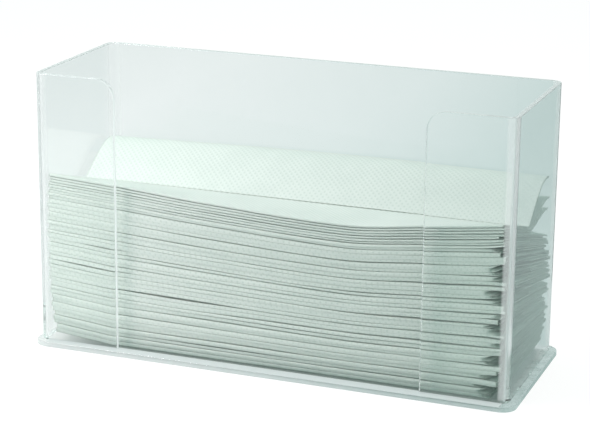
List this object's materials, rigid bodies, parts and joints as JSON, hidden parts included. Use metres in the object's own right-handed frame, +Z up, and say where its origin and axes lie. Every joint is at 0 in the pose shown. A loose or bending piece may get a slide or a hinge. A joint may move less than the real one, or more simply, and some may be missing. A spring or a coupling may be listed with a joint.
{
  "type": "paper towel dispenser",
  "caption": "Clear acrylic countertop dispenser, open at the top with a wide gap in the front, holding a sagging stack of folded, embossed paper towels.",
  "frame": {"origin": "middle of the base plate's underside, on the surface it stands on", "axes": "+X along the length, to the right seen from the front; +Y from the open front to the back wall; +Z up"},
  "size_m": [0.295, 0.1086, 0.165],
  "materials": {
    "acrylic": "clear cast acrylic with flame-polished edges",
    "paper": "embossed paper towel, matt, off-white"
  },
  "bodies": {
    "root": {"sleeve": "acrylic", "base_plate": "acrylic", "towel_01": "paper", "towel_02": "paper", "towel_03": "paper", "towel_04": "paper", "towel_05": "paper", "towel_06": "paper", "towel_07": "paper", "towel_08": "paper", "towel_09": "paper", "towel_10": "paper", "towel_11": "paper", "towel_12": "paper", "towel_13": "paper", "towel_14": "paper", "towel_15": "paper", "towel_16": "paper", "towel_17": "paper", "towel_18": "paper", "towel_19": "paper", "towel_20": "paper", "towel_21": "paper", "towel_22": "paper", "towel_23": "paper", "towel_24": "paper", "towel_25": "paper", "towel_26": "paper", "towel_27": "paper", "towel_28": "paper", "towel_29": "paper", "towel_30": "paper", "towel_31": "paper", "towel_32": "paper", "towel_33": "paper", "towel_34": "paper", "towel_35": "paper", "towel_36": "paper", "towel_37": "paper", "towel_38": "paper", "towel_39": "paper", "towel_40": "paper"}
  },
  "joints": []
}
